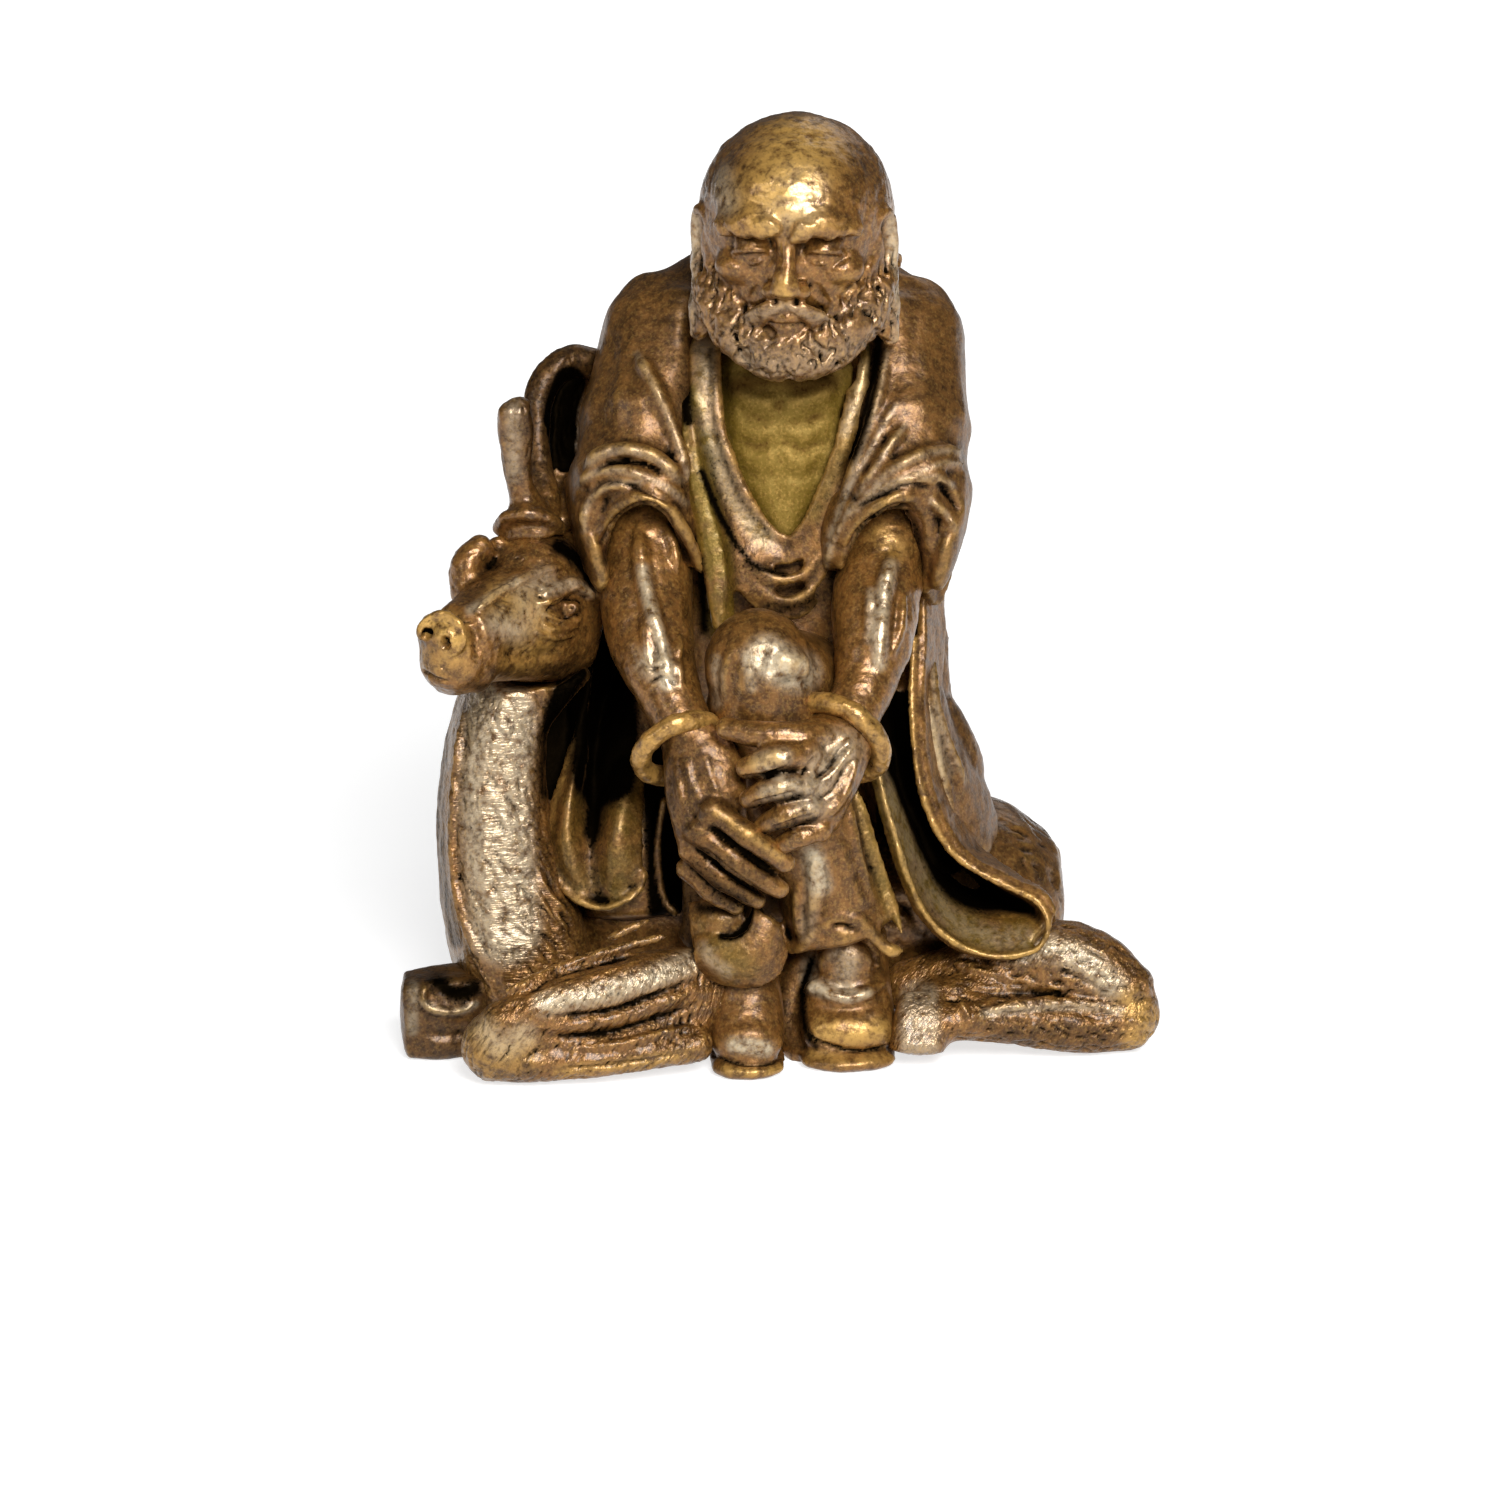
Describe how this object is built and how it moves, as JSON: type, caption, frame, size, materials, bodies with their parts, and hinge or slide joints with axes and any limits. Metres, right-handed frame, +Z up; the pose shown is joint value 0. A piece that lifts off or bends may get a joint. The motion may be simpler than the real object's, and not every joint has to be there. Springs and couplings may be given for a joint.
{
  "type": "bronze arhat statue",
  "caption": "Small cast bronze of a bald bearded arhat seated on a resting deer, hands clasped over a raised knee, robe trailing at one side.",
  "frame": {"origin": "on the ground under the figure, on the flat underside of the deer's trunk", "axes": "+Z up from the ground, -Y is the way the figure faces, -X is the side of the deer's head"},
  "size_m": [0.0572, 0.0412, 0.0701],
  "materials": {
    "bronze_robe": "brown wax patina, semi-gloss",
    "bronze_skin": "red-brown patina, polished by handling",
    "bronze_chest": "olive-gold patina, dull",
    "bronze_deer": "brown patina with chased fur",
    "bronze_worn": "worn through to bright alloy"
  },
  "bodies": {
    "root": {"head": "bronze_skin", "right_forearm": "bronze_skin", "left_forearm": "bronze_skin", "left_hand": "bronze_skin", "right_hand": "bronze_skin", "right_bangle": "bronze_worn", "left_bangle": "bronze_worn", "left_shoe": "bronze_worn", "right_shoe": "bronze_worn", "chest": "bronze_chest", "raised_leg": "bronze_robe", "hem_curl": "bronze_robe", "right_sleeve": "bronze_robe", "left_sleeve": "bronze_robe", "inner_robe": "bronze_robe", "robe_tail": "bronze_robe", "leg_drape": "bronze_robe", "right_shin": "bronze_robe", "side_drape": "bronze_robe", "outer_robe": "bronze_robe", "deer_trunk": "bronze_deer", "deer_right_antler": "bronze_deer", "deer_left_antler": "bronze_deer", "deer_right_ear": "bronze_deer", "deer_left_ear": "bronze_deer", "deer_head": "bronze_deer", "deer_neck": "bronze_deer", "deer_left_foreleg": "bronze_deer", "deer_right_foreleg": "bronze_deer", "deer_left_hindleg": "bronze_deer", "deer_right_hindleg": "bronze_deer", "deer_tail": "bronze_deer"}
  },
  "joints": []
}
